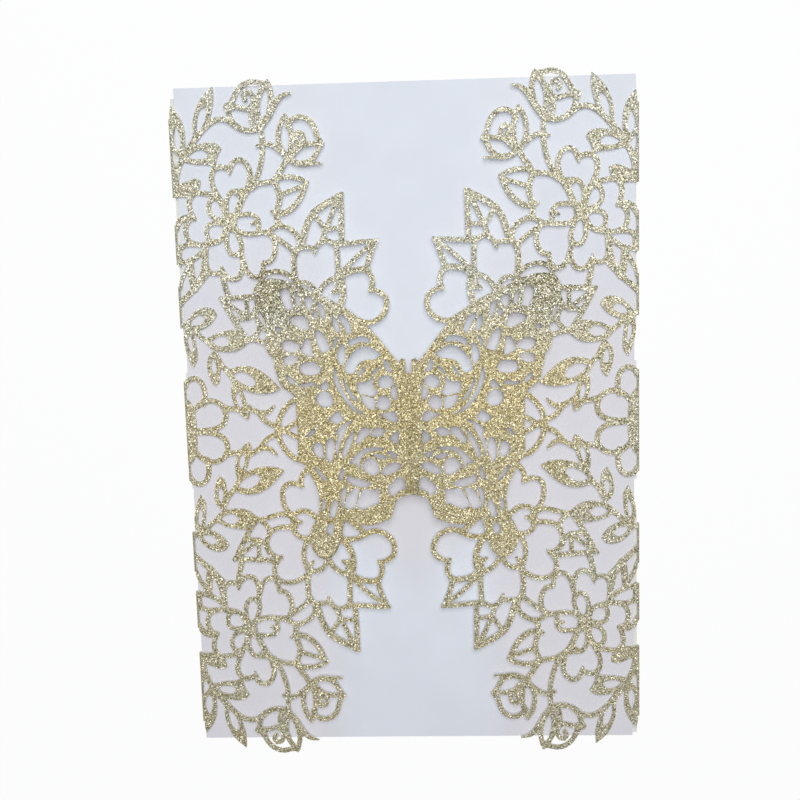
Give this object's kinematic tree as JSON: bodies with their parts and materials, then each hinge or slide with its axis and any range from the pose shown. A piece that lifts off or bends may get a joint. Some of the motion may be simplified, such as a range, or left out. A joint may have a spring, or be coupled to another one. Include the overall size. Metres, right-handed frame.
{
  "type": "laser-cut invitation card",
  "caption": "Gatefold invitation sleeve with lace flaps closed by interlocking butterflies, and a plain card inside.",
  "frame": {"origin": "middle of the closed card, on the underside of its back panel", "axes": "+Y towards the top of the card, +Z out of its front, +X to the right as seen from the front"},
  "size_m": [0.125, 0.1878, 0.0057],
  "materials": {
    "glitter_sheet": "champagne gold glitter face, white reverse",
    "plain_card": "matt off-white"
  },
  "bodies": {
    "root": {"gatefold_sleeve": "glitter_sheet", "insert_card": "plain_card"}
  },
  "joints": []
}
